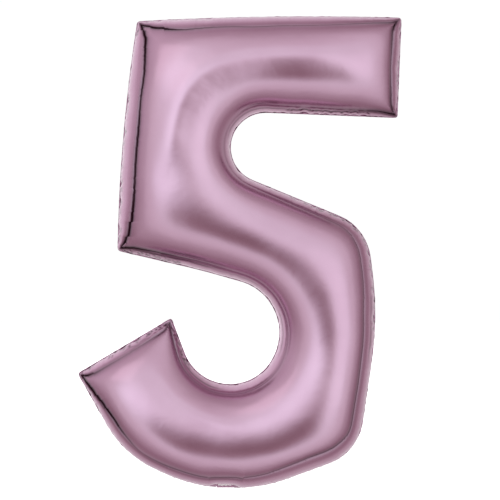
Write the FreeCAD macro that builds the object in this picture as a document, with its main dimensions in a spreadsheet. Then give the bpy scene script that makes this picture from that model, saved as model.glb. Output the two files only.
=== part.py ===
"""Foil number balloon in the shape of a five, 86 cm tall when it is full of gas.

Two panels of metallised film are heat-sealed to each other along their outline. A flat
self-sealing valve runs up into the gas space from the neck, and a short filling tail with
a hole in it hangs from the neck on a fold.

Millimetres. +Z is up and the front faces -Y. The origin is at the neck, where the ribbon
is tied, on the lowest edge of the sealed rim. Y = 0 is the plane between the two panels.
"""
import FreeCAD, Part
import math
import os

import Sketcher
from FreeCAD import Placement, Rotation, Vector

# Driving sizes. Every alias becomes a cell of the sheet "Sizes".
SIZES = {
    # film, seal and inflated depth
    "film": 0.8,             # balloon film, drawn thicker than the real 0.04 mm
    "valve_film": 0.2,
    "channel": 0.2,          # open gap between the two valve films
    "seal_width": 6.0,       # heat-sealed band round the outline
    "half_depth": 75.0,      # middle plane to crown of a panel
    "shoulder": 46.0,        # width over which a panel rolls from the seal to its crown
    # valve
    "valve_width": 25.0,
    "valve_height": 108.0,   # top of the valve above the rim's lowest edge
    "valve_seal": 4.0,       # width of one sealed edge of the valve
    "release_height": 88.0,  # printed release coat, from the neck upwards
    "release_coat": 0.05,
    # neck and tail
    "fold_height": 2.6,      # fold axis above the rim's lowest edge
    "neck_room": 0.4,        # clearance above the folded tail
    "neck_side_room": 0.6,   # clearance beside it
    "tail_width": 30.0,
    "tail_bend": 110.0,      # radius that the folded tail takes round the belly
    "tail_bend_turn": 20.0,  # degrees
    "tail_flat": 25.0,       # straight end of the tail
    "tail_end_seal": 5.0,
    "tail_valve_flat": 4.0,  # straight end of the valve inside the tail
    "fill_hole_radius": 4.5,
    "fill_hole_edge": 12.5,  # hole centre to the end of the tail
    # outline: sharp corners
    "bar_left_x": -160.0, "bar_left_z": 851.5,
    "bar_right_x": 322.0, "bar_right_z": 858.0,
    "bar_end_x": 314.5, "bar_end_z": 675.0,
    "hook_low_x": -269.0, "hook_low_z": 209.5,
    "hook_high_x": -97.5, "hook_high_z": 311.0,
    "stem_foot_x": -196.0, "stem_foot_z": 433.0,
    # outline: two slightly bowed edges between corners
    "bar_top_radius": 5600.0,
    "stem_side_radius": 3000.0,
    # outline: round stretches, centre and radius
    "upper_bay_x": 74.0, "upper_bay_z": 621.0, "upper_bay_radius": 63.5,
    "brow_x": 171.5, "brow_z": 409.5, "brow_radius": 95.0,
    "back_x": -345.0, "back_z": 317.5, "back_radius": 619.0,
    "heel_x": 157.0, "heel_z": 134.5, "heel_radius": 95.5,
    "belly_x": 14.0, "belly_z": 302.5, "belly_radius": 302.5,
    "chin_x": -47.5, "chin_z": 211.0, "chin_radius": 193.5,
    "bowl_left_x": 9.0, "bowl_left_z": 278.0, "bowl_left_radius": 88.0,
    "bowl_right_x": 3.0, "bowl_right_z": 284.5, "bowl_right_radius": 96.0,
    "stem_under_x": -302.0, "stem_under_z": -602.0, "stem_under_radius": 1032.0,
}

# The outline read clockwise from the top left corner. A corner is a sharp point, "out" and
# "in" are round stretches that bulge out of the film or bite into it, each tangent to its
# straight neighbours, and a bow is one flat arc from the corner before it to the next one.
OUTLINE = (
    ("bar_left", "corner"), ("bar_top", "bow"), ("bar_right", "corner"), ("bar_end", "corner"),
    ("upper_bay", "in"), ("brow", "out"), ("back", "out"), ("heel", "out"), ("belly", "out"),
    ("chin", "out"), ("hook_low", "corner"), ("hook_high", "corner"), ("bowl_left", "in"),
    ("bowl_right", "in"), ("stem_under", "in"), ("stem_foot", "corner"), ("stem_side", "bow"),
)

START, END, CENTRE = 1, 2, 3        # an edge's two ends and the centre of its circle
ORIGIN = (-1, 1)                    # the origin of a profile's own plane
UPRIGHT_AXIS = -2
FACING_FRONT = Placement(Vector(0, 0, 0), Rotation(Vector(1, 0, 0), 90))   # its normal is -Y
BANDS = 5                           # tapered bands from the seal to the crown of a panel

# Half thicknesses, as expressions: the valve's open channel, the valve, and the folded tail.
CHANNEL = "Sizes.channel / 2"
VALVE = "(%s + Sizes.valve_film)" % CHANNEL
TAIL = "(%s + Sizes.film)" % VALVE
NECK_TOP = "(Sizes.fold_height + %s + Sizes.neck_room)" % TAIL

doc = FreeCAD.newDocument("NumberBalloon")
sizes = doc.addObject("Spreadsheet::Sheet", "Sizes")
for row, (alias, value) in enumerate(SIZES.items(), start=1):
    sizes.set("A%d" % row, alias)
    sizes.set("B%d" % row, str(value))
    sizes.setAlias("B%d" % row, alias)
doc.recompute()


def cell(alias):
    """Number now in a cell, for the starting guess of a sketch."""
    return float(getattr(sizes, alias))


def bind(obj, **expressions):
    """Bind properties to sheet expressions. A double underscore stands for a dot."""
    for name, expression in expressions.items():
        obj.setExpression(name.replace("__", "."), expression)
    return obj


def bind_datum(sketch, constraint, expression):
    """Add a dimension to a sketch and drive it from the sheet."""
    index = sketch.addConstraint(constraint)
    sketch.setExpression("Constraints[%d]" % index, expression)


def side(kind):
    """Signed side of a stretch: +1 bulges out, -1 bites in, 0 is a sharp corner."""
    return {"out": 1, "in": -1}.get(kind, 0)


def stretch(name, kind):
    """Centre and signed radius of a corner or a round stretch."""
    radius = side(kind) * cell(name + "_radius") if side(kind) else 0.0
    return Vector(cell(name + "_x"), cell(name + "_z"), 0), radius


def straight_between(first, second):
    """Ends of the straight edge that leaves one stretch and meets the next, going clockwise."""
    (centre_a, radius_a), (centre_b, radius_b) = first, second
    gap = centre_b - centre_a
    heading = math.atan2(gap.y, gap.x) - math.asin((radius_a - radius_b) / gap.Length)
    outward = Vector(-math.sin(heading), math.cos(heading), 0)
    return centre_a + outward * radius_a, centre_b + outward * radius_b


def arc_edge(centre, radius, tail, head, bites_in):
    """Arc from tail to head: clockwise when it bulges out, else the other way."""
    angles = [math.atan2(p.y - centre.y, p.x - centre.x) for p in (tail, head)]
    if not bites_in:
        angles.reverse()
    if angles[1] <= angles[0]:
        angles[1] += 2 * math.pi
    return Part.ArcOfCircle(Part.Circle(centre, Vector(0, 0, 1), radius), *angles)


def bow_centre(tail, head, radius):
    """Centre of a flat arc that runs clockwise from tail to head."""
    chord = head - tail
    inward = Vector(chord.y, -chord.x, 0).normalize()
    return (tail + head) * 0.5 + inward * math.sqrt(radius ** 2 - (chord.Length / 2) ** 2)


def make_outline():
    """Trimmed edge of the film: straight runs, tangent arcs and six corners."""
    sketch = doc.addObject("Sketcher::SketchObject", "outline")
    sketch.Placement = FACING_FRONT
    count = len(OUTLINE)
    runs = {}       # index of a stretch: the straight edge that leaves it
    for i, (name, kind) in enumerate(OUTLINE):
        next_name, next_kind = OUTLINE[(i + 1) % count]
        if "bow" in (kind, next_kind):
            continue
        ends = straight_between(stretch(name, kind), stretch(next_name, next_kind))
        runs[i] = (sketch.addGeometry(Part.LineSegment(*ends), False), ends)
    bends = {}
    for i, (name, kind) in enumerate(OUTLINE):
        before, after = (i - 1) % count, (i + 1) % count
        if kind == "bow":
            tail = stretch(*OUTLINE[before])[0]
            head = stretch(*OUTLINE[after])[0]
            radius = cell(name + "_radius")
            edge = arc_edge(bow_centre(tail, head, radius), radius, tail, head, False)
        elif side(kind):
            centre, radius = stretch(name, kind)
            edge = arc_edge(centre, abs(radius), runs[before][1][1], runs[i][1][0], kind == "in")
        else:
            continue
        bends[i] = sketch.addGeometry(edge, False)
    for i, (name, kind) in enumerate(OUTLINE):
        before, after = (i - 1) % count, (i + 1) % count
        if side(kind):
            enters, leaves = (START, END) if kind == "in" else (END, START)
            sketch.addConstraint(Sketcher.Constraint(
                "Tangent", runs[before][0], END, bends[i], enters))
            sketch.addConstraint(Sketcher.Constraint(
                "Tangent", bends[i], leaves, runs[i][0], START))
            place, point = bends[i], CENTRE
        elif kind == "corner":
            arriving = (runs[before][0], END) if before in runs else (bends[before], START)
            leaving = (runs[i][0], START) if i in runs else (bends[after], END)
            sketch.addConstraint(Sketcher.Constraint("Coincident", *arriving, *leaving))
            place, point = leaving
        if kind != "bow":
            middle = stretch(name, kind)[0]
            for direction, axis, value in (("DistanceX", "_x", middle.x), ("DistanceY", "_z", middle.y)):
                bind_datum(sketch, Sketcher.Constraint(direction, *ORIGIN, place, point, value),
                           "Sizes." + name + axis)
        if kind != "corner":
            bind_datum(sketch, Sketcher.Constraint("Radius", bends[i], cell(name + "_radius")),
                       "Sizes." + name + "_radius")
    return sketch


def inset(name, width, rise="0"):
    """Copy of the outline moved into the film by a width and lifted off the middle plane."""
    line = doc.addObject("Part::Offset2D", name)
    line.Source = outline
    line.Join = "Intersection"
    return bind(line, Value="-(%s)" % width, Placement__Base__y="-(%s)" % rise)


def slab(name, profile, back, front):
    """Flat solid of an upright profile between two planes, given by their distance towards -Y."""
    solid = doc.addObject("Part::Extrusion", name)
    solid.Base = profile
    solid.DirMode = "Custom"
    solid.Dir = Vector(0, -1, 0)
    solid.Solid = True
    return bind(solid, LengthFwd="(%s) - (%s)" % (front, back), Placement__Base__y="-(%s)" % back)


def block(name, half_width, low, high, half_depth):
    """Box centred on X = 0 and Y = 0, between two heights."""
    box = doc.addObject("Part::Box", name)
    return bind(box, Length="2 * (%s)" % half_width, Width="2 * (%s)" % half_depth,
                Height="(%s) - (%s)" % (high, low), Placement__Base__x="-(%s)" % half_width,
                Placement__Base__y="-(%s)" % half_depth, Placement__Base__z=low)


def cut(name, base, *tools):
    """One solid less the others."""
    for count, tool in enumerate(tools, start=1):
        result = doc.addObject("Part::Cut", name if count == len(tools) else "%s_%d" % (name, count))
        result.Base, result.Tool = base, tool
        base = result
    return result


def fuse(name, solids):
    """Several solids in one."""
    result = doc.addObject("Part::MultiFuse", name)
    result.Shapes = solids
    return result


def pillow(name, skin):
    """Half of the gas space: tapered bands lofted over shrinking copies of the weld line."""
    sections = []
    for step in range(BANDS + 1):
        turn = 90.0 * step / BANDS
        width = "Sizes.seal_width + {0} + (Sizes.shoulder - {0}) * (1 - cos({1}))".format(skin, turn)
        rise = "{0} + (Sizes.half_depth - {0} - {1}) * sin({2})".format(VALVE, skin, turn)
        sections.append(inset("%s_line_%d" % (name, step), width, rise))
    bands = []
    for step, pair in enumerate(zip(sections, sections[1:])):
        band = doc.addObject("Part::Loft", "%s_band_%d" % (name, step))
        band.Sections = pair
        band.Ruled = True
        band.Solid = True
        bands.append(band)
    return fuse(name, bands)


def make_front_panel(neck_gap):
    """Inflated front film with the flat rim that is sealed to the back film."""
    rim = slab("rim", outline, VALVE, TAIL)
    skin = fuse("front_skin", [pillow("front_outside", "0"), rim])
    return cut("front_panel", skin, pillow("front_inside", "Sizes.film"), neck_gap)


def make_back_panel(front_panel):
    """The same film turned over."""
    panel = doc.addObject("Part::Mirroring", "back_panel")
    panel.Source = front_panel
    panel.Normal = Vector(0, 1, 0)
    return panel


def make_weld_seam(neck_gap):
    """Heat seal between the two rims, open only where the valve passes."""
    band = slab("seal_plate", outline, "-" + VALVE, VALVE)
    hollow = slab("seal_hollow", inset("seal_line", "Sizes.seal_width"), "-" + TAIL, TAIL)
    passage = block("valve_passage", "Sizes.valve_width / 2", "0", "2 * Sizes.seal_width", TAIL)
    return cut("weld_seam", band, hollow, passage, neck_gap)


def make_strip(name, width, top, thick, front):
    """Flat strip of valve film standing on the neck."""
    body = doc.addObject("PartDesign::Body", name)
    sketch = body.newObject("Sketcher::SketchObject", name + "_sketch")
    sketch.AttachmentSupport = (origin_plane(body, "XZ_Plane"), "")
    sketch.MapMode = "FlatFace"
    half, low, high = cell("valve_width") / 2, cell("fold_height"), cell("valve_height")
    corners = [Vector(-half, low), Vector(half, low), Vector(half, high), Vector(-half, high)]
    bottom, right, upper, left = [
        sketch.addGeometry(Part.LineSegment(a, b), False)
        for a, b in zip(corners, corners[1:] + corners[:1])]
    for first, second in ((bottom, right), (right, upper), (upper, left), (left, bottom)):
        sketch.addConstraint(Sketcher.Constraint("Coincident", first, END, second, START))
    for edge, direction in ((upper, "Horizontal"), (right, "Vertical"), (left, "Vertical")):
        sketch.addConstraint(Sketcher.Constraint(direction, edge))
    sketch.addConstraint(Sketcher.Constraint("Symmetric", bottom, START, bottom, END, UPRIGHT_AXIS))
    bind_datum(sketch, Sketcher.Constraint("Distance", bottom, 2 * half), width)
    bind_datum(sketch, Sketcher.Constraint("DistanceY", *ORIGIN, bottom, START, low), NECK_TOP)
    bind_datum(sketch, Sketcher.Constraint("DistanceY", *ORIGIN, upper, START, high), top)
    pad = body.newObject("PartDesign::Pad", name + "_pad")
    pad.Profile = sketch
    bind(pad, Length=thick)
    return bind(body, Placement__Base__y="-(%s) + %s" % (front, thick))


def origin_plane(body, role):
    """One of a body's own base planes."""
    return next(plane for plane in body.Origin.OriginFeatures if plane.Role == role)


def make_valve():
    """Two valve films, the sealed edges between them and the coat that keeps them apart."""
    edge = "(Sizes.valve_width / 2 - Sizes.valve_seal)"
    make_strip("valve_front_ply", "Sizes.valve_width", "Sizes.valve_height", "Sizes.valve_film", VALVE)
    make_strip("valve_back_ply", "Sizes.valve_width", "Sizes.valve_height", "Sizes.valve_film",
               "-" + CHANNEL)
    make_strip("valve_release_print", "2 * " + edge, "Sizes.release_height", "Sizes.release_coat",
               CHANNEL)
    sealed = block("seal_block", "Sizes.valve_width / 2", NECK_TOP, "Sizes.valve_height", CHANNEL)
    channel = block("channel_block", edge, "0", "2 * Sizes.valve_height", TAIL)
    cut("valve_edge_seals", sealed, channel)


def make_tail_layer(name, width, low, high, flat="Sizes.tail_flat"):
    """One layer of the folded tail: it curls up round the belly and ends in a straight run.

    low and high are its faces, as heights above the middle of the tail where it leaves the
    fold. Its profile lies in the YZ plane, and it reaches as far to either side along X.
    """
    body = doc.addObject("PartDesign::Body", name)
    sketch = body.newObject("Sketcher::SketchObject", name + "_sketch")
    sketch.AttachmentSupport = (origin_plane(body, "YZ_Plane"), "")
    sketch.MapMode = "FlatFace"
    bend, turn, run = cell("tail_bend"), math.radians(cell("tail_bend_turn")), cell("tail_flat")
    half = cell("channel") / 2
    centre = Vector(0, bend)
    along = Vector(math.cos(turn), math.sin(turn))
    down = Vector(math.sin(turn), -math.cos(turn))
    faces = []
    for face in (-half, half):
        circle = Part.Circle(centre, Vector(0, 0, 1), bend - face)
        arc = sketch.addGeometry(
            Part.ArcOfCircle(circle, -math.pi / 2, turn - math.pi / 2), False)
        leaves = centre + down * (bend - face)
        line = sketch.addGeometry(Part.LineSegment(leaves, leaves + along * run), False)
        faces.append((arc, line, leaves + along * run, Vector(0, face)))
    (low_arc, low_line, low_tip, low_root), (high_arc, high_line, high_tip, high_root) = faces
    tip = sketch.addGeometry(Part.LineSegment(low_tip, high_tip), False)
    root = sketch.addGeometry(Part.LineSegment(high_root, low_root), False)
    sketch.addConstraint([
        Sketcher.Constraint("Tangent", low_arc, END, low_line, START),
        Sketcher.Constraint("Tangent", high_arc, END, high_line, START),
        Sketcher.Constraint("Coincident", low_line, END, tip, START),
        Sketcher.Constraint("Coincident", high_line, END, tip, END),
        Sketcher.Constraint("Coincident", high_arc, START, root, START),
        Sketcher.Constraint("Coincident", low_arc, START, root, END),
        Sketcher.Constraint("Coincident", low_arc, CENTRE, high_arc, CENTRE),
        Sketcher.Constraint("PointOnObject", low_arc, CENTRE, UPRIGHT_AXIS),
        Sketcher.Constraint("PointOnObject", root, START, UPRIGHT_AXIS),
        Sketcher.Constraint("PointOnObject", root, END, UPRIGHT_AXIS),
        Sketcher.Constraint("Parallel", low_line, high_line),
        Sketcher.Constraint("Equal", low_line, high_line),
    ])
    bind_datum(sketch, Sketcher.Constraint("DistanceY", *ORIGIN, low_arc, CENTRE, bend),
               "Sizes.tail_bend")
    bind_datum(sketch, Sketcher.Constraint("Angle", low_line, turn), "Sizes.tail_bend_turn * 1 deg")
    bind_datum(sketch, Sketcher.Constraint("Distance", low_line, run), flat)
    bind_datum(sketch, Sketcher.Constraint("Radius", low_arc, bend + half),
               "Sizes.tail_bend - (%s)" % low)
    bind_datum(sketch, Sketcher.Constraint("Radius", high_arc, bend - half),
               "Sizes.tail_bend - (%s)" % high)
    pad = body.newObject("PartDesign::Pad", name + "_pad")
    pad.Profile = sketch
    pad.SideType = "Symmetric"
    bind(pad, Length=width)
    return bind(body, Placement__Base__z="Sizes.fold_height")


def make_fill_hole():
    """Drill for the filling hole, square to the straight end of the tail."""
    drill = doc.addObject("Part::Cylinder", "fill_hole_drill")
    turn, run = "Sizes.tail_bend_turn", "(Sizes.tail_flat - Sizes.fill_hole_edge)"
    drill.Placement = Placement(Vector(0, 0, 0), Rotation(Vector(1, 0, 0), cell("tail_bend_turn")))
    height = "Sizes.fold_height + Sizes.tail_bend * (1 - cos({0})) + {1} * sin({0}) - 2 * {2} * cos({0})"
    return bind(drill, Radius="Sizes.fill_hole_radius", Height="2 * %s - %s" % (TAIL, VALVE),
                Placement__Base__y="(Sizes.tail_bend + 2 * {2}) * sin({0}) + {1} * cos({0})".format(
                    turn, run, TAIL),
                Placement__Base__z=height.format(turn, run, TAIL),
                Placement__Rotation__Angle=turn + " * 1 deg")


def make_tail():
    """Filling tail: front and back film, sealed edges, and the valve's own two films inside."""
    wide, narrow = "Sizes.tail_width", "Sizes.valve_width"
    blank = make_tail_layer("tail_front_blank", wide, "-" + TAIL, "-" + VALVE)
    cut("tail_front_ply", blank, make_fill_hole())
    make_tail_layer("tail_back_ply", wide, VALVE, TAIL)
    weld = make_tail_layer("tail_weld_blank", wide, "-" + VALVE, VALVE)
    pocket = make_tail_layer("tail_pocket", narrow, "-" + TAIL, TAIL,
                             "Sizes.tail_flat - Sizes.tail_end_seal")
    cut("tail_edge_weld", weld, pocket)
    valve_run = "Sizes.tail_valve_flat"
    make_tail_layer("tail_valve_front_ply", narrow, "-" + VALVE, "-" + CHANNEL, valve_run)
    make_tail_layer("tail_valve_back_ply", narrow, CHANNEL, VALVE, valve_run)
    sealed = make_tail_layer("tail_seal_blank", narrow, "-" + CHANNEL, CHANNEL, valve_run)
    channel = make_tail_layer("tail_channel", narrow + " - 2 * Sizes.valve_seal", "-" + TAIL, TAIL)
    cut("tail_valve_seals", sealed, channel)


NODES = (
    "front_panel", "back_panel", "weld_seam", "valve_front_ply", "valve_back_ply",
    "valve_edge_seals", "valve_release_print", "tail_front_ply", "tail_back_ply",
    "tail_edge_weld", "tail_valve_front_ply", "tail_valve_back_ply", "tail_valve_seals",
)


def check(obj):
    """Stop if an object failed, or if a sub-part has no valid solid."""
    bad = {"Invalid", "Error"} & set(obj.State)
    if bad:
        raise RuntimeError("%s: %s" % (obj.Label, ", ".join(obj.State)))
    if obj.Label in NODES and (obj.Shape.isNull() or not obj.Shape.isValid() or not obj.Shape.Solids):
        raise RuntimeError("%s has no valid solid" % obj.Label)


outline = make_outline()
neck = block("neck_gap", "Sizes.tail_width / 2 + Sizes.neck_side_room", "-Sizes.seal_width",
             NECK_TOP, "2 * " + TAIL)
make_back_panel(make_front_panel(neck))
make_weld_seam(neck)
make_valve()
make_tail()
doc.recompute()

for item in doc.Objects:
    check(item)
os.makedirs("parts", exist_ok=True)
for node in NODES:
    solid = doc.getObject(node)
    solid.Shape.exportStep("parts/%s.step" % node)
    box = solid.Shape.BoundBox
    print("%-22s %9.2f cm3  %d solid  X %.1f..%.1f  Y %.2f..%.2f  Z %.1f..%.1f" % (
        node, solid.Shape.Volume / 1000, len(solid.Shape.Solids),
        box.XMin, box.XMax, box.YMin, box.YMax, box.ZMin, box.ZMax))
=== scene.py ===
import math

import bmesh
import bpy
import numpy as np
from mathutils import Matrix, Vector, noise
from mathutils.geometry import delaunay_2d_cdt
from mathutils.kdtree import KDTree


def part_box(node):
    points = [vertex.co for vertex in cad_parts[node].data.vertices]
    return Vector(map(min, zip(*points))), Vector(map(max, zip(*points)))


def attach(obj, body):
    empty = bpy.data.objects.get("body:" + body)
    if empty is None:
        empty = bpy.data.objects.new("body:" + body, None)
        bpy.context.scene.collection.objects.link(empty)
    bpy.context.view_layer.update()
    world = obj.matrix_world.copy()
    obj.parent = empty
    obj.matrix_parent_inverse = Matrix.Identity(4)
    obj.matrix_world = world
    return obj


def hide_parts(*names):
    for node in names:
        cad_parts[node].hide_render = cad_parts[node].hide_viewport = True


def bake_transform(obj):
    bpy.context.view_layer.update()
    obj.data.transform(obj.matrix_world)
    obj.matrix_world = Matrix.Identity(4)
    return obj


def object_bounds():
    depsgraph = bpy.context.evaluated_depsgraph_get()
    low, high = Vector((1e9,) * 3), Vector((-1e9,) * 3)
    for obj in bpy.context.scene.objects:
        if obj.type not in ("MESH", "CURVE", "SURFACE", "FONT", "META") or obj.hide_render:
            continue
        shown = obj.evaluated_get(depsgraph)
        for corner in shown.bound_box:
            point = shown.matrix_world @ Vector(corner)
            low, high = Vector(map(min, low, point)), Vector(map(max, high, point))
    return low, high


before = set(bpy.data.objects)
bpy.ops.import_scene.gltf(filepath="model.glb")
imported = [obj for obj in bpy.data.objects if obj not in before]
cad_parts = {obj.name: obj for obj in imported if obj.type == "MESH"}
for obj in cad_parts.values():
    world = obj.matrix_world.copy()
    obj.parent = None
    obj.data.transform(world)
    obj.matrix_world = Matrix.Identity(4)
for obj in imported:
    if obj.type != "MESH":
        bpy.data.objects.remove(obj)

# A foil number balloon, a five: two panels of metallised film sealed along their rim and full of
# gas, with a filling tail folded back under the belly. Metres, front towards -Y, +Z up.
#
# Words used below: the trim is the cut edge of the film, and the rim is the edge of the gas space
# just inside it. A station is a distance along either. An inset is a distance inside the rim.
MM = 0.001
CAD_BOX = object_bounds()

# ---------------------------------------------------------------- sizes
TRIM_STEP = 1.0 * MM          # spacing of the points that stand for the trimmed edge
CORNER_SOFTNESS = 4.0 * MM    # how far the film rounds the corners of the cut
CORNER_REACH = 16             # a corner's turn is measured this many points to either side
CORNER_TURN = 0.9             # least turn of a sharp corner, in radians
CORNER_APART = 40             # two corners are at least this many points apart
SEAM_WIDTH = 1.0 * MM         # flat sealed edge that shows outside the gas space
SEAM_THICKNESS = 0.3 * MM
SEAM_WAVE = 0.8 * MM          # how far its trimmed edge waves from side to side
SEAM_WAVE_LENGTH = 2.2 * MM
CROWN_LIMIT = 90 * MM         # where two limbs meet the film can't rise higher than this
CROWN_EASE = 8                # how suddenly it stops there
PLUMPNESS = 0.80              # how far the film rises for the pressure it holds
GRID = 4 * MM                 # cell of the grid on which the gas pressure is solved
SOLVER_TURNS = 640            # half sweeps over that grid
SOLVER_HASTE = 1.9            # how far each sweep goes past its target
RIM_CLOSE = 0.02              # nodes closer to the rim than this share of a cell count as on it
RIM_CARRY = 10                # cells by which the lift near the rim is carried on past it
BOWL_MIDDLE = (6 * MM, 281 * MM)   # centre of the bowl's curve, in X and Z
BOWL_RADIUS = 187 * MM        # from there to the middle of the limb
BOWL_HALF_WIDTH = 95 * MM     # half width of the limb
BOWL_TOP = (220 * MM, 420 * MM)    # the bowl's extra push dies away between these heights
BOWL_PUSH = 1.05              # extra push on the bowl's outer edge, and as much less on the inner
RIM_SPACING = 1.7 * MM        # mesh spacing along the rim
FIELD_SPACING = 4.6 * MM      # mesh spacing on the open film
BEAD_ROWS = (0.02, 0.06, 0.13, 0.23, 0.36, 0.5, 0.64, 0.76, 0.86, 0.94, 1.0)   # of the inset
INNER_ROWS = (1.2, 2.6, 4.4, 6.6, 9.2, 12.2, 15.6, 19.6, 24)   # mm further in than the crease
BAND_END = 44 * MM            # the rim rows of the mesh stop here, and the open field starts
NECK_HALF_WIDTH = 15.6 * MM   # half the opening in the trim that the tail leaves by
NECK_TOP = 4.3 * MM           # top of that opening
NECK_SEAL = 5.6 * MM          # width of the seal beside it
NECK_BLEND = 14 * MM          # length over which that seal narrows to the ordinary one
NECK_ZONE = 20 * MM           # height below which the rim belongs to the neck
NOTCH_ROOM = 0.4 * MM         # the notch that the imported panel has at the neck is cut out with
NOTCH_TOP = 8 * MM            # this room beside it, up to this height
SCALLOP_LENGTH = 4.5 * MM     # length of the shallow scallops the puckers leave in the rim
SCALLOP_DEPTH = 0.4 * MM
BUNCHED = 2.2                 # how much deeper they are where the film is bunched up
BUNCH_BLUR = 6 * MM           # softness of the ends of a bunched stretch
CREASE_BLUR = 4 * MM          # softness of the crease's bends
CREASE_WANDER = 26 * MM       # length over which the crease strays from its line
CREASE_STRAY = 0.025          # how far it strays, over its inset
CREASE_LEAST = 3 * MM         # it comes no closer to the rim than this
CREASE_DEPTH = 4.5 * MM       # how far the film is drawn in at the bottom of a full crease
CREASE_CORE = 2.0 * MM        # half width of its sharp bottom
CREASE_FLANK = 6 * MM         # half width of the soft hollow around it
CORE_SHARE = 0.72             # share of the depth that the sharp bottom has
CREASE_LINE = 3.8 * MM        # half width of the shadowed line at the bottom of the crease
CREASE_HALO = 7.5 * MM        # half width of the softer shadow beside it
SHADOW_FALL = 1.6             # how quickly the shadow weakens with the crease
LINE_SHADE, HALO_SHADE = 0.8, 0.32
BEAD_RISE = 0.06              # how far the bead outside the crease bulges, over its width
BEAD_MIDDLE, BEAD_SPREAD = 0.45, 0.3   # where it bulges most and how widely, over the inset
PLEAT_ZONE = 34 * MM          # the short pleats stay within this distance of the rim
DENT_ZONE = 16 * MM           # and the small dents within this
DENT_DEPTH = 1.8 * MM
WRINKLE_DEPTH = 1.5 * MM
WRINKLE_WIDTH = 1.4 * MM      # half width of a fine wrinkle
WRINKLE_LINE = 1.1 * MM       # half width of the shadow in it
WAVE_HEIGHT = 1.1 * MM        # faint unevenness of the open film
WAVES_PER_METRE = 14

# The valve and tail films: cut into strips across and along, then rippled.
FILM_ACROSS, FILM_ALONG = 1.5 * MM, 2.0 * MM
FILM_FLAT_END = (1 * MM, 14 * MM)   # the ripples start and reach their full height at these
FILM_SHARP_ANGLE = 50         # degrees
STRIP_HALF_WIDTH = 14.4 * MM  # the two short plies of the neck
STRIP_COLUMNS = 22
STRIP_THICKNESS = 0.12 * MM
# Their paths round the fold, as points in Y and Z, in mm.
NECK_FRONT = ((-0.35, 5.6), (-0.5, 4.2), (-0.55, 3.0), (-0.25, 1.9), (0.6, 1.25), (2.2, 1.2))
NECK_BACK = ((0.35, 5.6), (0.45, 4.6), (1.0, 4.15), (2.4, 4.0))

VIEW_MARGIN = 1.0593          # height of the picture, over the height of the balloon
CAMERA_ASIDE, CAMERA_ABOVE = 19.1 * MM, 4.2 * MM

# The crease that runs inside each stretch of the rim, from corner to corner: how far along the
# stretch, how far inside the rim in mm, and how strongly the film folds there, where 1 is a full
# crease. The stretches go counter-clockwise as the front is seen, from the top right corner.
CREASES = {
    "bar_top": ((0.0, 4, 0.9), (0.03, 11, 0.8), (0.15, 17, 0.62), (0.28, 21, 0.52), (0.5, 24, 0.6),
                (0.7, 24, 0.68), (0.83, 25, 0.8), (0.9, 21, 1.1), (0.96, 14, 1.0), (1.0, 5, 1.0)),
    "stem_side": ((0.0, 5, 1.0), (0.07, 21, 1.15), (0.14, 25, 1.05), (0.22, 29, 1.0),
                  (0.35, 28, 0.92), (0.5, 30, 1.05), (0.75, 32, 1.0), (0.86, 29, 1.15),
                  (0.94, 21, 1.15), (1.0, 5, 1.0)),
    "under_stem_and_bowl": ((0.0, 5, 1.0), (0.04, 11, 1.0), (0.14, 14, 0.8), (0.22, 15, 0.6),
                            (0.32, 14, 0.45), (0.45, 13, 0.4), (0.6, 15, 0.45),
                            (0.8, 14, 0.45), (0.93, 10, 0.7), (1.0, 4, 1.0)),
    "hook_end": ((0.0, 5, 0.9), (0.1, 12, 0.7), (0.5, 14, 0.62), (0.85, 15, 0.8), (0.94, 11, 1.0),
                 (1.0, 5, 1.0)),
    "outside_of_bowl_and_bay": ((0.0, 5, 1.2), (0.02, 12, 1.2), (0.042, 19, 1.15), (0.065, 24, 1.0),
                                (0.09, 24, 0.75), (0.11, 21, 0.5), (0.15, 21, 0.7), (0.2, 23, 0.68),
                                (0.27, 27, 0.62), (0.32, 33, 0.7), (0.35, 31, 0.75), (0.385, 25, 0.7),
                                (0.44, 23, 0.7), (0.52, 24, 0.62), (0.6, 20, 0.62),
                                (0.66, 15, 0.5), (0.75, 12, 0.35), (0.82, 10, 0.4),
                                (0.87, 10, 0.5), (0.93, 9, 0.6), (0.98, 8, 0.9), (1.0, 4, 1.0)),
    "bar_end": ((0.0, 4, 1.0), (0.1, 14, 0.85), (0.5, 18, 0.7), (0.85, 17, 0.85), (0.94, 12, 1.0),
                (1.0, 4, 1.0)),
}

# Long low swells laid on the open film, to bend the reflections: points in X and Z in
# mm, height and half width in mm.
SWELLS = (
    (((-142, 262), (-122, 219), (-88, 172), (-44, 146), (6, 126), (52, 124)), 1.8, 14),
    (((240, 785), (137, 788), (80, 786), (30, 780), (-10, 767), (-42, 748), (-66, 722), (-82, 690),
      (-92, 650), (-98, 606), (-102, 556)), 2.7, 21),
)
SWELL_FADE = 90 * MM          # a swell dies away over this length at its ends

# Stretches of the rim with small sharp dents: from, to, how many, and between which insets in mm.
CRUMPLED = (
    ("bar_top", 0.72, 0.99, 9, 0.3, 3), ("stem_side", 0.3, 0.97, 44, 0.2, 4),
    ("stem_side", 0.0, 0.06, 5, 2, 9), ("under_stem_and_bowl", 0.0, 0.17, 44, 0.3, 6),
    ("under_stem_and_bowl", 0.86, 0.985, 30, 0.3, 4.5), ("hook_end", 0.03, 0.97, 44, 0.2, 5),
    ("outside_of_bowl_and_bay", 0.0, 0.05, 14, 0.3, 4),
    ("outside_of_bowl_and_bay", 0.5, 0.7, 74, 0.1, 3.4),
    ("outside_of_bowl_and_bay", 0.875, 0.97, 44, 3, 5.5), ("bar_end", 0.1, 0.95, 10, 0.3, 3),
)

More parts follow.
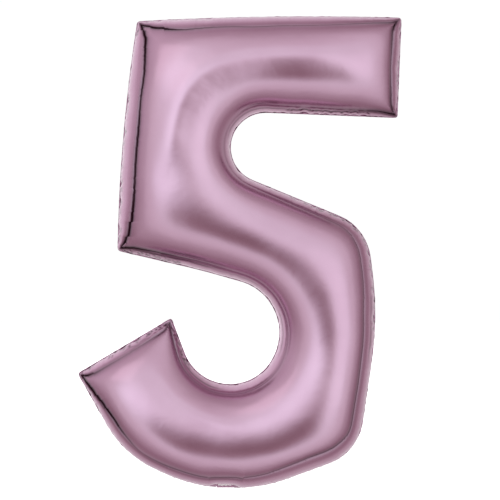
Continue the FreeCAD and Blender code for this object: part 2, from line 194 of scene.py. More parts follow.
# Long fine wrinkles beside the rim: stretch, from, to, inset at either end in mm, and strength.
WRINKLED = (
    ("under_stem_and_bowl", 0.02, 0.2, 7, 9, 0.9), ("under_stem_and_bowl", 0.05, 0.3, 13, 8, 0.7),
    ("under_stem_and_bowl", 0.1, 0.26, 19, 22, 0.6), ("under_stem_and_bowl", 0.2, 0.42, 9, 7, 0.5),
    ("under_stem_and_bowl", 0.45, 0.6, 5, 6, 0.5), ("under_stem_and_bowl", 0.74, 0.96, 7, 5, 0.6),
    ("outside_of_bowl_and_bay", 0.46, 0.58, 8, 9, 0.5),
    ("outside_of_bowl_and_bay", 0.79, 0.9, 6, 5, 0.6),
    ("outside_of_bowl_and_bay", 0.82, 0.88, 10, 16, 0.5),
    ("outside_of_bowl_and_bay", 0.86, 0.99, 4, 4.5, 0.9), ("hook_end", 0.2, 0.6, 8, 6, 0.5),
)


# ---------------------------------------------------------------- outline of the film
def trimmed_edge():
    """Corners of the trimmed edge, in X and Z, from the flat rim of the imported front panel."""
    mesh = bmesh.new()
    mesh.from_mesh(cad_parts["front_panel"].data)
    bmesh.ops.remove_doubles(mesh, verts=mesh.verts, dist=1e-6)
    rim_y = max(v.co.y for v in mesh.verts)
    flat = {f for f in mesh.faces if all(v.co.y > rim_y - 1e-5 for v in f.verts)}
    beside = {}
    for edge in mesh.edges:
        if sum(face in flat for face in edge.link_faces) == 1:
            for vert in edge.verts:
                beside.setdefault(vert, []).append(edge.other_vert(vert))
    loops, used = [], set()
    for first in beside:
        if first not in used:
            loop = [first]
            used.add(first)
            while ahead := [v for v in beside[loop[-1]] if v not in used]:
                loop.append(ahead[0])
                used.add(ahead[0])
            loops.append(np.array([(v.co.x, v.co.z) for v in loop]))
    mesh.free()
    loop = max(loops, key=lambda points: np.ptp(points[:, 1]))
    notch = (abs(loop[:, 0]) < NECK_HALF_WIDTH + NOTCH_ROOM) & (loop[:, 1] < NOTCH_TOP)
    loop = loop[~notch]
    x, z = loop.T
    turns = np.sum(x * np.roll(z, -1) - np.roll(x, -1) * z)
    return loop if turns > 0 else loop[::-1]


def spaced(points, step):
    """A closed line as evenly spaced points."""
    ring = np.vstack([points, points[:1]])
    along = np.r_[0, np.cumsum(np.linalg.norm(np.diff(ring, axis=0), axis=1))]
    stations = np.linspace(0, along[-1], round(along[-1] / step), endpoint=False)
    return np.c_[np.interp(stations, along, ring[:, 0]), np.interp(stations, along, ring[:, 1])]


def rounded(values, softness, step):
    """Values along a closed line, blurred by a soft window of the given width."""
    window = np.exp(-2 * (math.pi * np.fft.fftfreq(len(values), step) * softness) ** 2)
    if values.ndim == 2:
        window = window[:, None]
    return np.real(np.fft.ifft(np.fft.fft(values, axis=0) * window, axis=0))


class Outline:
    """A closed line in X and Z that knows its corners, normals and distances."""

    def __init__(self, points):
        self.points = spaced(points, TRIM_STEP)
        count = len(self.points)
        self.length = count * TRIM_STEP
        tangent = np.roll(self.points, -1, 0) - np.roll(self.points, 1, 0)
        tangent /= np.linalg.norm(tangent, axis=1)[:, None]
        self.tangent = tangent
        self.outward = np.c_[tangent[:, 1], -tangent[:, 0]]
        self.tree = KDTree(count)
        for i, (x, z) in enumerate(self.points):
            self.tree.insert((x, z, 0), i)
        self.tree.balance()

    def station(self, stretch, along):
        """Station at a share of the way along a named stretch between two corners."""
        start, end = self.stretches[stretch]
        return (start + along * (end - start)) * TRIM_STEP

    def name_stretches(self, corners):
        """Name the stretches of this line after its points nearest to the given corners."""
        marks = [self.tree.find((x, z, 0))[1] for x, z in corners]
        ends = marks[1:] + [marks[0]]
        count = len(self.points)
        self.stretches = {name: (start, start + (end - start) % count)
                          for name, start, end in zip(CREASES, marks, ends)}

    def corners(self):
        """The sharp corners, counter-clockwise from the top right."""
        turn = np.arctan2(self.tangent[:, 1], self.tangent[:, 0])
        bend = np.roll(turn, -CORNER_REACH) - np.roll(turn, CORNER_REACH)
        bend = (bend + math.pi) % (2 * math.pi) - math.pi
        around = np.arange(-CORNER_APART, CORNER_APART + 1)
        found = [i for i in range(len(bend))
                 if bend[i] > CORNER_TURN and bend[i] == max(bend.take(i + around, mode="wrap"))]
        first = max(found, key=lambda i: self.points[i].sum())
        start = found.index(first)
        return self.points[found[start:] + found[:start]]

    def nearest(self, places):
        """For places in X and Z: distance inside the line, and the station next to each."""
        index = np.array([self.tree.find((x, z, 0))[1] for x, z in places])
        offset = places - self.points[index]
        inside = -np.einsum("ij,ij->i", offset, self.outward[index])
        slide = np.einsum("ij,ij->i", offset, self.tangent[index])
        far = np.linalg.norm(offset, axis=1)
        distance = np.where(far > 2 * TRIM_STEP, np.sign(inside) * far, inside)
        return distance, (index * TRIM_STEP + slide) % self.length


def gas_edge(trim):
    """Points of the gas space's edge, one per point of the trim: the width of the seal inside it,
    drawn in a little more between the puckers, and by the full seal at the neck."""
    draw = np.random.default_rng(5)
    ripple = rounded(draw.normal(size=len(trim.points)), SCALLOP_LENGTH, TRIM_STEP)
    bunched = np.ones(len(trim.points))
    for stretch, start, end, *_ in CRUMPLED:
        first, last = trim.station(stretch, start), trim.station(stretch, end)
        bunched[np.arange(int(first / TRIM_STEP), int(last / TRIM_STEP)) % len(bunched)] = BUNCHED
    bunched = rounded(bunched, BUNCH_BLUR, TRIM_STEP)
    pull = SEAM_WIDTH + SCALLOP_DEPTH * bunched * np.abs(ripple) / ripple.std()
    x, z = trim.points.T
    beside_neck = 1 - smooth_step(abs(x), NECK_HALF_WIDTH, NECK_HALF_WIDTH + NECK_BLEND)
    at_neck = beside_neck * (z < NECK_ZONE)
    return trim.points - trim.outward * (pull + at_neck * (NECK_SEAL - SEAM_WIDTH))[:, None]


# ---------------------------------------------------------------- inflated shape
def smooth_step(value, low, high):
    """0 below low, 1 above high, and a smooth ramp between."""
    t = np.clip((value - low) / (high - low), 0, 1)
    return t * t * (3 - 2 * t)


class GasSpace:
    """Height of the film over the middle plane, from a membrane that the gas pushes out."""

    def __init__(self, rim):
        self.rim = rim
        low, high = rim.points.min(0) - 4 * GRID, rim.points.max(0) + 4 * GRID
        self.low = low
        self.shape = tuple(np.ceil((high - low) / GRID).astype(int) + 1)
        xs = low[0] + np.arange(self.shape[0]) * GRID
        zs = low[1] + np.arange(self.shape[1]) * GRID
        places = np.stack(np.meshgrid(xs, zs, indexing="ij"), -1).reshape(-1, 2)
        inside = rim.nearest(places)[0].reshape(self.shape)
        self.lift = self.membrane(inside, self.load(places).reshape(self.shape))
        self.slope = self.near_rim(inside)

    @staticmethod
    def load(places):
        """Push on the film: even, but in the bowl it leans towards the long outer seam."""
        away = np.hypot(places[:, 0] - BOWL_MIDDLE[0], places[:, 1] - BOWL_MIDDLE[1])
        low_down = 1 - smooth_step(places[:, 1], *BOWL_TOP)
        return 1 + BOWL_PUSH * low_down * np.clip((away - BOWL_RADIUS) / BOWL_HALF_WIDTH, -1, 1)

    @staticmethod
    def membrane(inside, load):
        """Solve the membrane on the grid, held to zero where the rim crosses between two nodes."""
        lift, held = np.zeros(inside.shape), np.full(inside.shape, 4.0)   # four neighbours each
        within = inside > RIM_CLOSE * GRID
        for axis in (0, 1):
            for shift in (-1, 1):
                beyond = np.roll(inside, shift, axis)
                share = np.clip(inside / (inside - beyond + 1e-9), 0.05, 1)
                held += np.where(within & (beyond <= RIM_CLOSE * GRID), (1 - share) / share, 0)
        parity = np.add.outer(np.arange(inside.shape[0]), np.arange(inside.shape[1])) % 2
        for turn in range(SOLVER_TURNS):
            around = (np.roll(lift, 1, 0) + np.roll(lift, -1, 0)
                      + np.roll(lift, 1, 1) + np.roll(lift, -1, 1) + load * GRID ** 2) / held
            cells = within & (parity == turn % 2)
            lift[cells] += SOLVER_HASTE * (around - lift)[cells]
        return lift

    def near_rim(self, inside):
        """Lift per distance from the rim, carried on a little way past it."""
        known = inside > 1.6 * GRID
        slope = np.where(known, self.lift / np.where(known, inside, 1), 0)
        weight = known.astype(float)
        for _ in range(RIM_CARRY):
            total, share = np.zeros_like(slope), np.zeros_like(slope)
            for axis in (0, 1):
                for shift in (-1, 1):
                    total += np.roll(slope * weight, shift, axis)
                    share += np.roll(weight, shift, axis)
            fill = (weight == 0) & (share > 0)
            slope[fill] = total[fill] / share[fill]
            weight[fill] = 1
        return slope

    def sample(self, table, places):
        """Read a table of the grid at places, with smooth cubic weights."""
        position = (places - self.low) / GRID
        cell = np.floor(position).astype(int)
        t = position - cell
        weights = np.stack([-0.5 * t ** 3 + t ** 2 - 0.5 * t, 1.5 * t ** 3 - 2.5 * t ** 2 + 1,
                            -1.5 * t ** 3 + 2 * t ** 2 + 0.5 * t, 0.5 * t ** 3 - 0.5 * t ** 2])
        value = np.zeros(len(places))
        for i in range(4):
            for j in range(4):
                column = np.clip(cell[:, 0] + i - 1, 0, self.shape[0] - 1)
                row = np.clip(cell[:, 1] + j - 1, 0, self.shape[1] - 1)
                value += weights[i, :, 0] * weights[j, :, 1] * table[column, row]
        return value

    def height(self, places, inside):
        """Height of the smooth film."""
        close = np.maximum(inside, 0) * self.sample(self.slope, places)
        open_film = self.sample(self.lift, places)
        blend = smooth_step(inside, 2 * GRID, 4 * GRID)
        lift = np.maximum(close * (1 - blend) + open_film * blend, 0)
        height = PLUMPNESS * np.sqrt(2 * lift)
        return height / (1 + (height / CROWN_LIMIT) ** CROWN_EASE) ** (1 / CROWN_EASE)


# ---------------------------------------------------------------- creases and puckers
class Creases:
    """Inset and strength of the long crease, at any station of the rim."""

    def __init__(self, rim, wander):
        stations, rows = [], []
        for stretch, keys in CREASES.items():
            for along, *facts in keys:
                stations.append(rim.station(stretch, along))
                rows.append(facts)
        rows = np.array(rows, float) * (MM, 1)
        self.every, self.length = np.arange(len(rim.points)) * TRIM_STEP, rim.length
        table = [np.interp(self.every, stations, column, period=rim.length) for column in rows.T]
        self.inset, self.weight = [rounded(column, CREASE_BLUR, TRIM_STEP) for column in table]
        drift = rounded(wander.normal(size=len(rim.points)), CREASE_WANDER, TRIM_STEP)
        self.inset *= 1 + CREASE_STRAY * drift / drift.std()
        self.inset = np.maximum(self.inset - (rim.pull - SEAM_WIDTH), CREASE_LEAST)

    def at(self, station):
        """Inset and strength at stations."""
        return [np.interp(station, self.every, column, period=self.length)
                for column in (self.inset, self.weight)]

    def fold(self, height, inside, station):
        """Draw the smooth film down into the crease: a narrow V with softer flanks."""
        inset, weight = self.at(station)
        away = abs(inside - inset)
        core = np.exp(-away / (CREASE_CORE * (2.4 - 1.4 * weight)))    # a weak crease is blunter
        flank = np.exp(-away / CREASE_FLANK)
        bulge = np.exp(-((inside - BEAD_MIDDLE * inset) / (BEAD_SPREAD * inset)) ** 2)
        hollow = CREASE_DEPTH * (CORE_SHARE * core + (1 - CORE_SHARE) * flank)
        return height + weight * (bulge * BEAD_RISE * inset
                                  - smooth_step(inside, 0, 0.4 * inset) * hollow)

    def shade(self, inside, station):
        """How deep in shadow a place is: 1 on the bottom of the crease, fading to either side."""
        inset, weight = self.at(station)
        away = inside - inset
        line = np.exp(-(away / CREASE_LINE) ** 2)
        halo = np.exp(-abs(away) / np.where(away > 0, CREASE_HALO, 0.4 * CREASE_HALO))
        return weight ** SHADOW_FALL * (LINE_SHADE * line + HALO_SHADE * halo)


def along_rim(near, station):
    """A finder for those of the near places whose station is within a reach of a given one."""
    order = np.flatnonzero(near)
    order = order[np.argsort(station[order])]
    ranked = station[order]

    def beside(place, reach):
        """Indices of the places within reach of a station."""
        low, high = np.searchsorted(ranked, (place - reach, place + reach))
        return order[low:high]

    return beside


class Puckers:
    """Short pleats that run in from the rim, where the seal is longer than the film needs."""

    def __init__(self, rim, draw):
        stations, station = [], 0.0
        while station < rim.length:
            station += draw.uniform(5.5, 13) * MM
            stations.append(station)
        count = len(stations)
        self.station = np.array(stations)
        self.width = draw.uniform(1.6, 3.2, count) * MM
        self.reach = draw.uniform(2.5, 6.0, count) * MM
        self.depth = draw.uniform(0.3, 1.0, count) ** 1.5 * 1.6 * MM

    def groove(self, inside, station):
        """Depth of the pleats at places near the rim."""
        total = np.zeros(len(inside))
        beside = along_rim(inside < PLEAT_ZONE, station)
        for place, width, reach, depth in zip(self.station, self.width, self.reach, self.depth):
            some = beside(place, 3.2 * width)
            across = (station[some] - place) / width
            total[some] += depth * np.exp(-across ** 2) * np.exp(-inside[some] / reach)
        return total


class Crumples:
    """Small sharp dents near the rim, in the stretches where the film is most bunched up."""

    def __init__(self, rim, draw):
        self.dents = []
        for stretch, start, end, count, low, high in CRUMPLED:
            low_station, high_station = rim.station(stretch, start), rim.station(stretch, end)
            for _ in range(count):
                self.dents.append((
                    draw.uniform(low_station, high_station) % rim.length,
                    draw.uniform(low, high) * MM,
                    draw.uniform(1.4, 4.0) * MM, draw.uniform(0.9, 1.7) * MM,
                    draw.uniform(-0.5, 0.5), draw.uniform(0.5, 1.0)))

    def apply(self, height, shade, inside, station):
        """Press the dents into the film and paint shade into them."""
        beside = along_rim(inside < DENT_ZONE, station)
        for place, inset, length, width, lean, strength in self.dents:
            some = beside(place, 3 * length)
            along = station[some] - place
            across = inside[some] - inset - lean * along
            dent = strength * np.exp(-(along / length) ** 2 - (across / width) ** 2)
            height[some] -= dent * DENT_DEPTH
            # painted shade inside each dent
            shade[some] = np.maximum(shade[some], dent)


class Wrinkles:
    """Fine wrinkles that run for some way beside the rim."""

    def __init__(self, rim):
        self.lines = [(rim.station(stretch, start), rim.station(stretch, end), inset_start * MM,
                       inset_end * MM, strength)
                      for stretch, start, end, inset_start, inset_end, strength in WRINKLED]
        self.length = rim.length

    def apply(self, height, shade, inside, station):
        """Draw the wrinkles into the film and paint shade into them."""
        for start, end, inset_start, inset_end, strength in self.lines:
            along = ((station - start) % self.length) / (end - start)
            inset = inset_start + (inset_end - inset_start) * along
            taper = smooth_step(along, 0, 0.25) * (1 - smooth_step(along, 0.7, 1))
            away = abs(inside - inset)
            height -= strength * taper * WRINKLE_DEPTH * np.exp(-away / WRINKLE_WIDTH)
            # painted shade along each wrinkle
            shade[:] = np.maximum(shade, strength * taper * np.exp(-(away / WRINKLE_LINE) ** 2))


def distance_to_path(places, points):
    """Distance from places to a path through points given in mm."""
    path = np.array(points) * MM
    nearest = np.full(len(places), np.inf)
    for start, end in zip(path, path[1:]):
        run = end - start
        share = np.clip((places - start) @ run / (run @ run), 0, 1)
        nearest = np.minimum(nearest, np.linalg.norm(places - start - share[:, None] * run, axis=1))
    return nearest


# ---------------------------------------------------------------- film panels
def rim_rows(rim, creases):
    """The rim's points, and rows that follow it, with one row along the bottom of the crease."""
    every = round(RIM_SPACING / TRIM_STEP, 1)
    index = np.round(np.arange(0, len(rim.points), every)).astype(int)
    index = index[index < len(rim.points)]
    base, outward = rim.points[index], rim.outward[index]
    inset = creases.at(index * TRIM_STEP)[0]
    depths = [share * inset for share in BEAD_ROWS] + [inset + row * MM for row in INNER_ROWS]
    places = np.vstack([base - outward * depth[:, None] for depth in depths])
    depth = np.concatenate(depths)
    really_inside = rim.nearest(places)[0]
    keep = (really_inside > 0.94 * depth - 0.1 * MM) & (depth < BAND_END)
    return base, places[keep]


def film_places(rim, creases):
    """All the places of one panel's mesh: the rim first, then the rows and the open field."""
    base, rows = rim_rows(rim, creases)
    low, high = rim.points.min(0), rim.points.max(0)
    field = []
    for row, z in enumerate(np.arange(low[1], high[1], FIELD_SPACING * math.sqrt(3) / 2)):
        start = low[0] + (row % 2) * FIELD_SPACING / 2
        xs = np.arange(start, high[0], FIELD_SPACING)
        field.append(np.c_[xs, np.full(len(xs), z)])
    field = np.vstack(field)
    inside, station = rim.nearest(field)
    last_row = np.minimum(creases.at(station)[0] + INNER_ROWS[-1] * MM, BAND_END)
    return base, np.vstack([rows, field[inside > last_row + 0.55 * FIELD_SPACING]])


def swells(flat):
    """Height that the long low swells add to the film."""
    total = np.zeros(len(flat))
    for points, swell, width in SWELLS:
        ends = [np.linalg.norm(flat - np.array(end) * MM, axis=1) for end in (points[0], points[-1])]
        fade = smooth_step(np.minimum(*ends), 0, SWELL_FADE)
        total += fade * swell * MM * np.exp(-(distance_to_path(flat, points) / (width * MM)) ** 2)
    return total


def make_panel(name, rim, gas, side, seed):
    """One inflated film panel. side is -1 for the front and +1 for the back."""
    draw = np.random.default_rng(seed)
    creases, puckers = Creases(rim, draw), Puckers(rim, draw)
    crumples, wrinkles = Crumples(rim, draw), Wrinkles(rim)
    base, others = film_places(rim, creases)
    places = np.vstack([base, others])
    count = len(base)
    loop = [(i, (i + 1) % count) for i in range(count)]
    flat, _, faces, *_ = delaunay_2d_cdt([Vector(p) for p in places], loop, [], 1, 1e-7)
    flat = np.array([tuple(p) for p in flat])
    inside, station = rim.nearest(flat)
    inside = np.maximum(inside, 0)
    height = gas.height(flat, inside)
    height = creases.fold(height, inside, station)
    on_bead = 1 - smooth_step(inside / creases.at(station)[0], 0.35, 0.8)
    height -= puckers.groove(inside, station) * smooth_step(inside, 0, 1.5 * MM) * on_bead
    # the crease is drawn into the geometry, and its dark line is also painted shade carried by the
    # crease attribute
    shade = creases.shade(inside, station)
    crumples.apply(height, shade, inside, station)
    wrinkles.apply(height, shade, inside, station)
    height += swells(flat)
    waves = np.array([noise.noise(Vector((x, z, seed))) for x, z in flat * WAVES_PER_METRE])
    height += waves * WAVE_HEIGHT * smooth_step(inside, 5 * MM, 50 * MM)
    height = np.maximum(height, 0)
    mesh = bmesh.new()
    verts = [mesh.verts.new((x, side * h, z)) for (x, z), h in zip(flat, height)]
    for face in faces:
        mesh.faces.new([verts[i] for i in face])
    mesh.normal_update()
    if sum(f.normal.y for f in mesh.faces) * side < 0:
        bmesh.ops.reverse_faces(mesh, faces=mesh.faces[:])
    piece = finish_mesh(name, mesh)
    # painted shade: the crease attribute darkens the film's colour along creases, dents and wrinkles
    shadow = piece.data.attributes.new("crease", "FLOAT", "POINT")
    shadow.data.foreach_set("value", np.clip(shade, 0, 1))
    return piece


def finish_mesh(name, mesh):
    """Turn a bmesh into a smooth-shaded object with its own mesh, at the origin."""
    data = bpy.data.meshes.new(name)
    for face in mesh.faces:
        face.smooth = True
    mesh.to_mesh(data)
    mesh.free()
    piece = bpy.data.objects.new(name, data)
    bpy.context.scene.collection.objects.link(piece)
    return piece


def make_seal_band(trim, inner_edge):
    """Flat heat-sealed edge all round, a little wavy where the rim has puckered."""
    draw = np.random.default_rng(11)
    wave = rounded(draw.normal(size=len(inner_edge)), SEAM_WAVE_LENGTH, TRIM_STEP)
    wave *= SEAM_WAVE / wave.std()
    outer_edge = trim.points.copy()
    opening = (abs(outer_edge[:, 0]) < NECK_HALF_WIDTH) & (outer_edge[:, 1] < NECK_TOP)
    outer_edge[opening, 1] = NECK_TOP
    wave[opening] = 0
    mesh = bmesh.new()
    rows = []
    for share in (0.0, 0.5, 1.0):
        line = inner_edge * (1 - share) + outer_edge * share
        rows.append([mesh.verts.new((x, w * share, z)) for (x, z), w in zip(line, wave)])
    for inner, outer in zip(rows, rows[1:]):
        for i in range(len(inner)):
            j = (i + 1) % len(inner)
            mesh.faces.new((inner[i], inner[j], outer[j], outer[i]))
    bmesh.ops.recalc_face_normals(mesh, faces=mesh.faces[:])
    bmesh.ops.solidify(mesh, geom=mesh.faces[:], thickness=SEAM_THICKNESS)
    return finish_mesh("seal_band", mesh)


def rippled_film(node, name, along, ripple, height):
    """A film as the CAD node has it, cut finely and rippled. along is the axis it runs in, and
    ripple the axis it waves in; the waves start from nothing at its fixed end."""
    mesh = bmesh.new()
    mesh.from_mesh(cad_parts[node].data)
    bmesh.ops.remove_doubles(mesh, verts=mesh.verts, dist=1e-6)
    low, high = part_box(node)
    for axis, step in ((0, FILM_ACROSS), (along, FILM_ALONG)):
        normal = Vector((0, 0, 0))
        normal[axis] = 1
        for cut in np.arange(low[axis] + step, high[axis], step):
            point = Vector((0, 0, 0))
            point[axis] = cut
            bmesh.ops.bisect_plane(mesh, geom=mesh.verts[:] + mesh.edges[:] + mesh.faces[:],
                                   plane_co=point, plane_no=normal, dist=1e-6)
    start = max(low[along], 0)
    for vert in mesh.verts:
        free = smooth_step(vert.co[along] - start, *FILM_FLAT_END)
        across, length = vert.co.x, vert.co[along]
        wave = noise.noise(Vector((across * 120, length * 26, 4.0)))
        frill = noise.noise(Vector((across * 40, length * 170, 9.0))) * (across / (15 * MM)) ** 2
        vert.co[ripple] += height * free * (wave + 0.7 * frill)
    bmesh.ops.recalc_face_normals(mesh, faces=mesh.faces[:])
    film = finish_mesh(name, mesh)
    film.data.set_sharp_from_angle(angle=math.radians(FILM_SHARP_ANGLE))
    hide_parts(node)
    return film


def neck_ply(name, path):
    """One ply of the neck: a short strip of film that follows a path in Y and Z, in mm."""
    mesh = bmesh.new()
    first, *rest = path
    xs = np.linspace(-STRIP_HALF_WIDTH, STRIP_HALF_WIDTH, STRIP_COLUMNS + 1)
    row = [mesh.verts.new((x, first[0] * MM, first[1] * MM)) for x in xs]
    edges = [mesh.edges.new(pair) for pair in zip(row, row[1:])]
    previous = Vector((0, *first)) * MM
    for y, z in rest:
        grown = bmesh.ops.extrude_edge_only(mesh, edges=edges)["geom"]
        here = Vector((0, y, z)) * MM
        moved = [item for item in grown if isinstance(item, bmesh.types.BMVert)]
        bmesh.ops.translate(mesh, verts=moved, vec=here - previous)
        edges = [item for item in grown if isinstance(item, bmesh.types.BMEdge)
                 and all(vert in moved for vert in item.verts)]
        previous = here
    for vert in mesh.verts:
        vert.co.y += 0.12 * MM * math.sin(vert.co.x / (1.15 * MM))
    bmesh.ops.recalc_face_normals(mesh, faces=mesh.faces[:])
    bmesh.ops.solidify(mesh, geom=mesh.faces[:], thickness=STRIP_THICKNESS)
    strip = finish_mesh(name, mesh)
    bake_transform(strip)
    return strip


# ---------------------------------------------------------------- materials
def linear(code):
    """Linear colour of an sRGB hex value."""
    parts = [int(code[i:i + 2], 16) / 255 for i in (1, 3, 5)]
    return tuple(p / 12.92 if p <= 0.04045 else ((p + 0.055) / 1.055) ** 2.4 for p in parts) + (1.0,)


def add_node(tree, kind, settings=None, links=None):
    """Add a node, set its properties and sockets, and link its inputs."""
    node = tree.nodes.new(kind)
    for name, value in (settings or {}).items():
        if name in node.inputs:
            node.inputs[name].default_value = value
        else:
            setattr(node, name, value)
    for name, socket in (links or {}).items():
        tree.links.new(socket, node.inputs[name])
    return node


def new_material(name):
    """Empty node material with its Principled shader."""
    material = bpy.data.materials.new(name)
    material.use_nodes = True
    return material, material.node_tree, material.node_tree.nodes["Principled BSDF"]


def metallised_film(name, tint, roughness):
    """Metallised nylon film, satin pink: a soft mirror, faintly uneven, with painted shade in its
    creases.
    """
    material, tree, shader = new_material(name)
    place = add_node(tree, "ShaderNodeTexCoord").outputs["Object"]
    cloud = add_node(tree, "ShaderNodeTexNoise", {"Scale": 9.0, "Detail": 3.0}, {"Vector": place})
    ramp = add_node(tree, "ShaderNodeValToRGB", {}, {"Fac": cloud.outputs["Fac"]})
    ramp.color_ramp.elements[0].position, ramp.color_ramp.elements[0].color = 0.3, linear(tint[0])
    ramp.color_ramp.elements[1].position, ramp.color_ramp.elements[1].color = 0.7, linear(tint[1])
    crinkle = add_node(tree, "ShaderNodeTexNoise", {"Scale": 55.0, "Detail": 2.0, "Distortion": 0.6},
                       {"Vector": place})
    bump = add_node(tree, "ShaderNodeBump", {"Strength": 0.10, "Distance": 0.0012},
                    {"Height": crinkle.outputs["Fac"]})
    # painted shade: the crease attribute mixes the base colour towards dark #2a0f1a in creases, dents
    # and wrinkles
    crease = add_node(tree, "ShaderNodeAttribute", {"attribute_name": "crease"}).outputs["Fac"]
    shaded = add_node(tree, "ShaderNodeMixRGB", {"Color2": linear("#2a0f1a")},
                      {"Fac": crease, "Color1": ramp.outputs["Color"]})
    tree.links.new(shaded.outputs["Color"], shader.inputs["Base Color"])
    tree.links.new(bump.outputs["Normal"], shader.inputs["Normal"])
    shader.inputs["Metallic"].default_value = 1.0
    shader.inputs["Roughness"].default_value = roughness
    return material


def milky_polyethylene(name):
    """Blown polyethylene valve film: milky, a little see-through, softly glossy."""
    material, tree, shader = new_material(name)
    place = add_node(tree, "ShaderNodeTexCoord").outputs["Object"]
    haze = add_node(tree, "ShaderNodeTexNoise", {"Scale": 240.0, "Detail": 2.0}, {"Vector": place})
    ramp = add_node(tree, "ShaderNodeValToRGB", {}, {"Fac": haze.outputs["Fac"]})
    ramp.color_ramp.elements[0].color = linear("#d9dcd8")
    ramp.color_ramp.elements[1].color = linear("#f0f1ec")
    tree.links.new(ramp.outputs["Color"], shader.inputs["Base Color"])
    shader.inputs["Roughness"].default_value = 0.35
    shader.inputs["IOR"].default_value = 1.51
    return material


def release_print(name):
    """Heat-resistant release coat printed on the valve film: a flat blue-grey ink."""
    material, tree, shader = new_material(name)
    place = add_node(tree, "ShaderNodeTexCoord").outputs["Object"]
    speckle = add_node(tree, "ShaderNodeTexNoise", {"Scale": 900.0}, {"Vector": place})
    ramp = add_node(tree, "ShaderNodeValToRGB", {}, {"Fac": speckle.outputs["Fac"]})
    ramp.color_ramp.elements[0].color = linear("#6f8fa6")
    ramp.color_ramp.elements[1].color = linear("#9ab3c4")
    tree.links.new(ramp.outputs["Color"], shader.inputs["Base Color"])
    shader.inputs["Roughness"].default_value = 0.6
    return material


def give(piece, material):
    """Put a material on a new piece or on a CAD node."""
    if piece.material_slots:
        piece.material_slots[0].material = material
    else:
        piece.data.materials.append(material)


# ---------------------------------------------------------------- studio
def make_world():
    """Soft white room: a broad bright front, dim sides, and the dim column of the camera stand."""
    world = bpy.data.worlds.new("studio")
    bpy.context.scene.world = world
    world.use_nodes = True
    tree = world.node_tree
    background = tree.nodes["Background"]
    direction = add_node(tree, "ShaderNodeTexCoord").outputs["Generated"]

    def angle_from(aim):
        """Angle in degrees between the looked-up direction and an aim, over 180."""
        dot = add_node(tree, "ShaderNodeVectorMath", {"operation": "DOT_PRODUCT"})
        tree.links.new(direction, dot.inputs[0])
        dot.inputs[1].default_value = Vector(aim).normalized()
        arc = add_node(tree, "ShaderNodeMath", {"operation": "ARCCOSINE"})
        tree.links.new(dot.outputs["Value"], arc.inputs[0])
        share = add_node(tree, "ShaderNodeMath", {"operation": "DIVIDE"})
        tree.links.new(arc.outputs["Value"], share.inputs[0])
        share.inputs[1].default_value = math.pi
        return share.outputs["Value"]

    def rings(aim, stops):
        """Brightness of the room in rings about an aim: (degrees, red, green, blue)."""
        ramp = add_node(tree, "ShaderNodeValToRGB", {}, {"Fac": angle_from(aim)})
        ramp.color_ramp.interpolation = "EASE"
        while len(ramp.color_ramp.elements) < len(stops):
            ramp.color_ramp.elements.new(0.5)
        for element, (degrees, *colour) in zip(ramp.color_ramp.elements, stops):
            element.position, element.color = degrees / 180, (*colour, 1)
        return ramp.outputs["Color"]

    def mixed(kind, first, second):
        """Two brightnesses multiplied or added."""
        return add_node(tree, "ShaderNodeMixRGB", {"blend_type": kind, "Fac": 1.0},
                        {"Color1": first, "Color2": second}).outputs["Color"]

    room = rings((0.07, -1, 0.05), (
        (0, 1.02, 1.08, 1.09), (32, 1.02, 1.08, 1.09), (50, 0.88, 0.86, 0.88), (68, 0.58, 0.50, 0.53),
        (86, 0.42, 0.31, 0.35), (98, 0.44, 0.34, 0.37), (116, 0.62, 0.54, 0.57), (150, 0.74, 0.69, 0.71),
        (166, 1.05, 1.05, 1.05), (180, 1.05, 1.05, 1.05)))
    stand = rings((-0.02, -1, -0.28), (
        (0, 0.22, 0.12, 0.13), (8, 0.31, 0.18, 0.20), (23, 1, 1, 1), (180, 1, 1, 1)))
    window = rings((-0.28, -1, 0.12), (
        (0, 0.42, 0.52, 0.54), (7, 0.30, 0.38, 0.40), (24, 0, 0, 0), (180, 0, 0, 0)))
    skylight = rings((-0.8, 0.5, 0.6), (
        (0, 0.30, 0.32, 0.34), (35, 0.26, 0.28, 0.30), (75, 0, 0, 0), (180, 0, 0, 0)))
    head = rings((0.02, -1, -0.04), (
        (0, 0.80, 0.72, 0.73), (7, 0.84, 0.77, 0.78), (15, 1, 1, 1), (180, 1, 1, 1)))
    side_window = rings((0.5, -1, 0.05), (
        (0, 0.26, 0.28, 0.29), (9, 0.20, 0.22, 0.23), (23, 0, 0, 0), (180, 0, 0, 0)))
    front = mixed("MULTIPLY", mixed("MULTIPLY", room, stand), head)
    total = mixed("ADD", mixed("ADD", mixed("ADD", front, window), side_window), skylight)
    seen = add_node(tree, "ShaderNodeLightPath").outputs["Is Camera Ray"]
    plain = add_node(tree, "ShaderNodeMixRGB", {"Color2": (1.02, 1.02, 1.02, 1)},
                     {"Fac": seen, "Color1": total})
    tree.links.new(plain.outputs["Color"], background.inputs["Color"])


def make_floor():
    """Pale studio floor under the hanging tail."""
    mesh = bmesh.new()
    bmesh.ops.create_grid(mesh, x_segments=2, y_segments=2, size=6)
    bmesh.ops.translate(mesh, verts=mesh.verts[:], vec=(0, 2.0, -0.12))
    floor = finish_mesh("floor", mesh)
    material, tree, shader = new_material("pale_floor")
    place = add_node(tree, "ShaderNodeTexCoord").outputs["Object"]
    mottle = add_node(tree, "ShaderNodeTexNoise", {"Scale": 2.0}, {"Vector": place})
    ramp = add_node(tree, "ShaderNodeValToRGB", {}, {"Fac": mottle.outputs["Fac"]})
    ramp.color_ramp.elements[0].color = linear("#f7f7f7")
    ramp.color_ramp.elements[1].color = linear("#ffffff")
    tree.links.new(ramp.outputs["Color"], shader.inputs["Base Color"])
    tree.links.new(ramp.outputs["Color"], shader.inputs["Emission Color"])
    shader.inputs["Emission Strength"].default_value = 0.9
    shader.inputs["Roughness"].default_value = 0.9
    give(floor, material)
    floor.visible_glossy = False


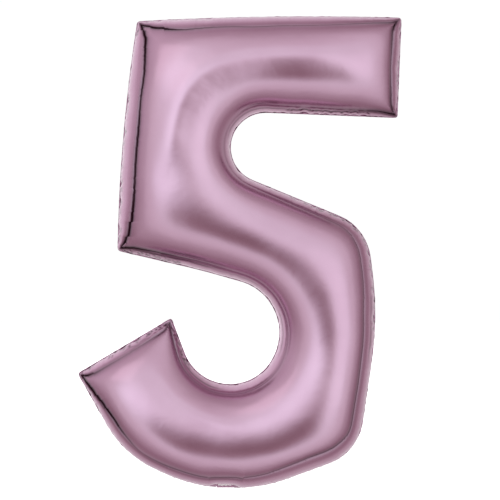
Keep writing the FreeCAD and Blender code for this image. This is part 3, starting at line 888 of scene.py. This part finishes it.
def make_light(name, place, aim, size, power):
    """Large soft lamp aimed at a point."""
    lamp = bpy.data.lights.new(name, "AREA")
    lamp.shape, lamp.size, lamp.energy = "SQUARE", size, power
    light = bpy.data.objects.new(name, lamp)
    light.location = place
    light.rotation_euler = (Vector(aim) - Vector(place)).to_track_quat("-Z", "Y").to_euler()
    bpy.context.scene.collection.objects.link(light)


def make_camera():
    """Long lens, level with the middle of the balloon and square to its front, a little aside."""
    low, high = (Vector(corner) for corner in CAD_BOX)
    middle = (low + high) / 2
    picture_height = (high.z - low.z) * VIEW_MARGIN
    camera = bpy.data.cameras.new("camera")
    camera.lens, camera.sensor_width = 100, 36
    distance = picture_height * camera.lens / camera.sensor_width
    camera.clip_end = 100
    holder = bpy.data.objects.new("camera", camera)
    holder.location = (middle.x + CAMERA_ASIDE, -distance, middle.z + CAMERA_ABOVE)
    holder.rotation_euler = (math.pi / 2, 0, 0)
    bpy.context.scene.collection.objects.link(holder)
    bpy.context.scene.camera = holder
    bpy.context.scene.view_settings.view_transform = "Standard"


# ---------------------------------------------------------------- assembly
make_camera()
make_world()
make_floor()
make_light("key", (-1.4, -2.2, 2.2), (0, 0, 0.45), 1.6, 2)

trim = Outline(rounded(spaced(trimmed_edge(), TRIM_STEP), CORNER_SOFTNESS, TRIM_STEP))
trim.name_stretches(trim.corners())
inner_edge = gas_edge(trim)
rim = Outline(inner_edge)
rim.name_stretches(trim.corners())
rim.pull = np.maximum(trim.nearest(rim.points)[0], SEAM_WIDTH)
gas = GasSpace(rim)

film = metallised_film("metallised_film", ("#cba5bb", "#d1adc2"), 0.22)
sealed_film = metallised_film("sealed_film", ("#b994a9", "#c39db2"), 0.32)
valve_film = milky_polyethylene("valve_film")

front = make_panel("front_film", rim, gas, -1, 3)
back = make_panel("back_film", rim, gas, 1, 8)
band = make_seal_band(trim, inner_edge)
for piece, node, material in ((front, "front_panel", film), (back, "back_panel", film),
                              (band, "weld_seam", sealed_film)):
    give(piece, material)
    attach(piece, "envelope")
    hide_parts(node)

coat = release_print("release_coat")
for node, body, along, ripple, height, material, finish in (
        ("valve_front_ply", "envelope", 2, 1, 0.9, valve_film, "valve_film"),
        ("valve_back_ply", "envelope", 2, 1, 0.9, valve_film, "valve_film"),
        ("valve_edge_seals", "envelope", 2, 1, 0.9, valve_film, "valve_film"),
        ("valve_release_print", "envelope", 2, 1, 0.9, coat, "release_coat"),
        ("tail_front_ply", "fill_tail", 1, 2, 0.7, film, "tail_film"),
        ("tail_back_ply", "fill_tail", 1, 2, 0.7, film, "tail_film"),
        ("tail_edge_weld", "fill_tail", 1, 2, 0.7, sealed_film, "seal_band"),
        ("tail_valve_front_ply", "fill_tail", 1, 2, 0.7, valve_film, "valve_film"),
        ("tail_valve_back_ply", "fill_tail", 1, 2, 0.7, valve_film, "valve_film"),
        ("tail_valve_seals", "fill_tail", 1, 2, 0.7, valve_film, "valve_film")):
    piece = rippled_film(node, node + "_film", along, ripple, height * MM)
    give(piece, material)
    give(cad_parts[node], material)
    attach(piece, body)
for name, path in (("neck_front", NECK_FRONT), ("neck_back", NECK_BACK)):
    strip = neck_ply(name, path)
    give(strip, film)
for node, material in (("front_panel", film), ("back_panel", film), ("weld_seam", sealed_film)):
    give(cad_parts[node], material)
